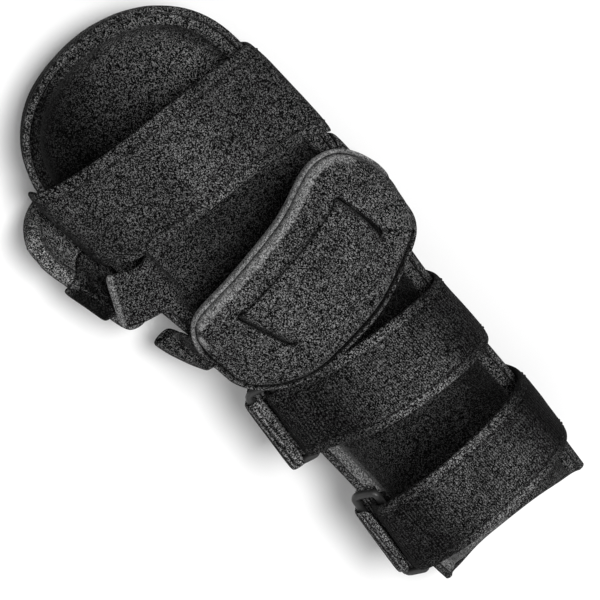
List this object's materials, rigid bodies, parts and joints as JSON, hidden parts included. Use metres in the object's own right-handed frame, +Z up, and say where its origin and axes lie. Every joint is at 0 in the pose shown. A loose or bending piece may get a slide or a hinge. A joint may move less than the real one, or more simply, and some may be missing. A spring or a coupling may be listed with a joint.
{
  "type": "resting hand splint",
  "caption": "Padded resting splint for a right hand and forearm: fabric trough with a dished finger pan, a thumb rest, an oval wrist pad, wide hook-and-loop straps and rings.",
  "frame": {"origin": "middle of the whole splint's footprint, on the floor that it lies on", "axes": "+X along the forearm to the fingertips, +Y to the thumb side, +Z up, away from the palm"},
  "size_m": [0.3424, 0.1374, 0.066],
  "materials": {
    "padding": "brushed loop pile",
    "tape": "matte knitted tape",
    "strap": "brushed loop pile",
    "webbing": "ribbed weave",
    "plastic": "satin"
  },
  "bodies": {
    "root": {"trough_shell": "padding", "edge_binding": "tape", "finger_strap": "strap", "forearm_strap_distal": "strap", "forearm_strap_proximal": "strap", "ring_distal": "plastic", "ring_proximal": "plastic", "ring_web_distal": "webbing", "ring_web_proximal": "webbing", "wrist_strap": "strap", "wrist_pad": "padding", "wrist_pad_binding": "tape", "thumb_rest": "padding", "thumb_cuff": "strap", "thumb_strap": "strap"}
  },
  "joints": []
}
